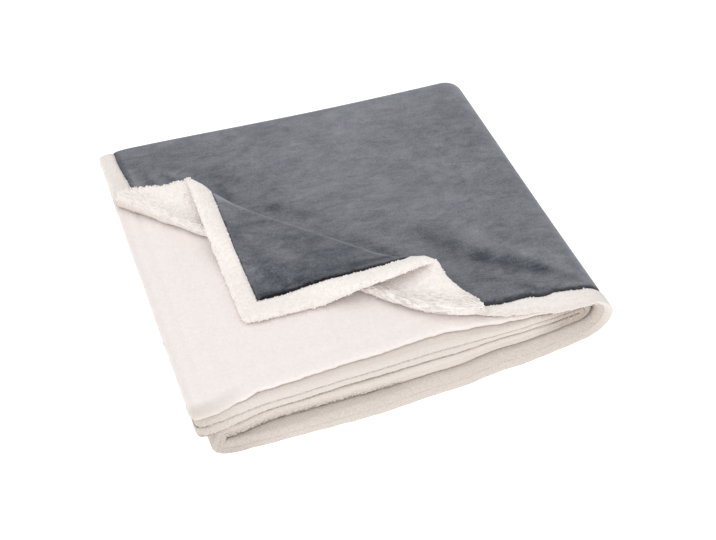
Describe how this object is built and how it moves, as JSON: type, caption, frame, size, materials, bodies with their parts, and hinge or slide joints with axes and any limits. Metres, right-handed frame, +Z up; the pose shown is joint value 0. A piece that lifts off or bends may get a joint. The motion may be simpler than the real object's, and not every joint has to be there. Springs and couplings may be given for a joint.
{
  "type": "throw blanket",
  "caption": "Throw blanket of grey plush with a white sherpa back and turned-over sherpa border, folded into a flat stack with a front corner turned back on top.",
  "frame": {"origin": "on the floor, under the middle of the folded stack", "axes": "+X along the folded width, towards the rounded loops of the folds; -Y towards the side that shows the layers' edges and the turned-back corner; +Z up"},
  "size_m": [0.52, 0.4862, 0.1021],
  "materials": {
    "plush": "short soft grey pile with a slight sheen and brushed patches",
    "sherpa": "matte warm white curled pile"
  },
  "bodies": {
    "root": {"plush_face": "plush", "sherpa_back": "sherpa"}
  },
  "joints": []
}
